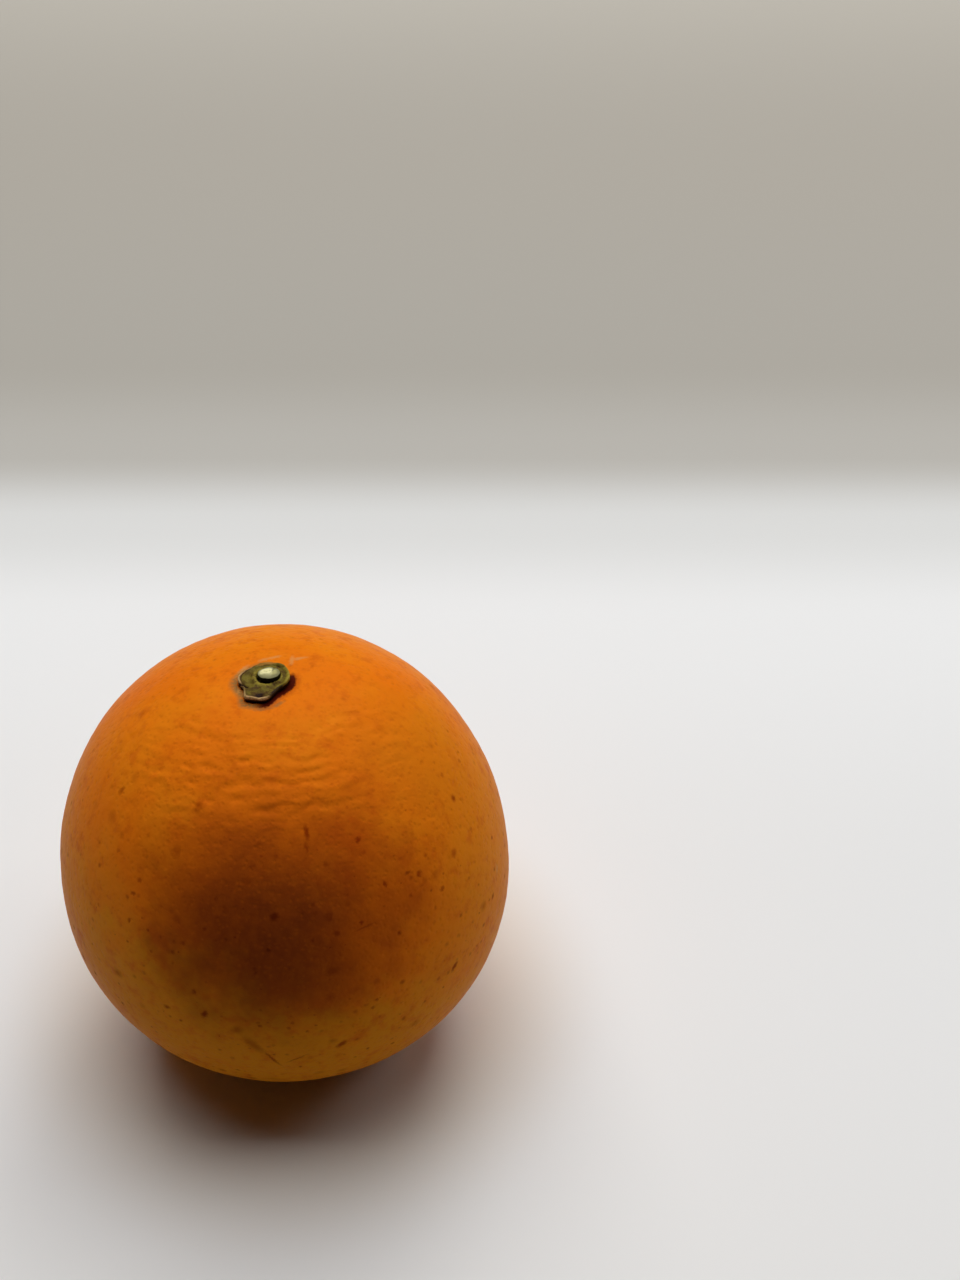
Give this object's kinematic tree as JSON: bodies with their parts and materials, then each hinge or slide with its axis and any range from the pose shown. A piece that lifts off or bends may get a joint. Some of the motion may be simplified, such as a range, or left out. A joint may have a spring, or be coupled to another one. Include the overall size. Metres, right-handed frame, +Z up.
{
  "type": "blood orange",
  "caption": "Whole round orange fruit that stands on a small flat spot, with its sepal disc and cut stem stub on top.",
  "frame": {"origin": "middle of the whole object's box, at the height of the flat spot that the fruit rests on", "axes": "+Z up along the fruit's own axis, to the stem end; -Y is the side with the most crumpled shoulder and the longest sepal; +X completes a right-handed frame"},
  "size_m": [0.0722, 0.0718, 0.0716],
  "materials": {
    "rind": "waxy, finely pitted orange peel",
    "sepal": "dull, dried olive green",
    "cut_stalk": "pale fresh cut"
  },
  "bodies": {
    "root": {"fruit": "rind", "calyx": "sepal", "stem_stub": "cut_stalk"}
  },
  "joints": []
}
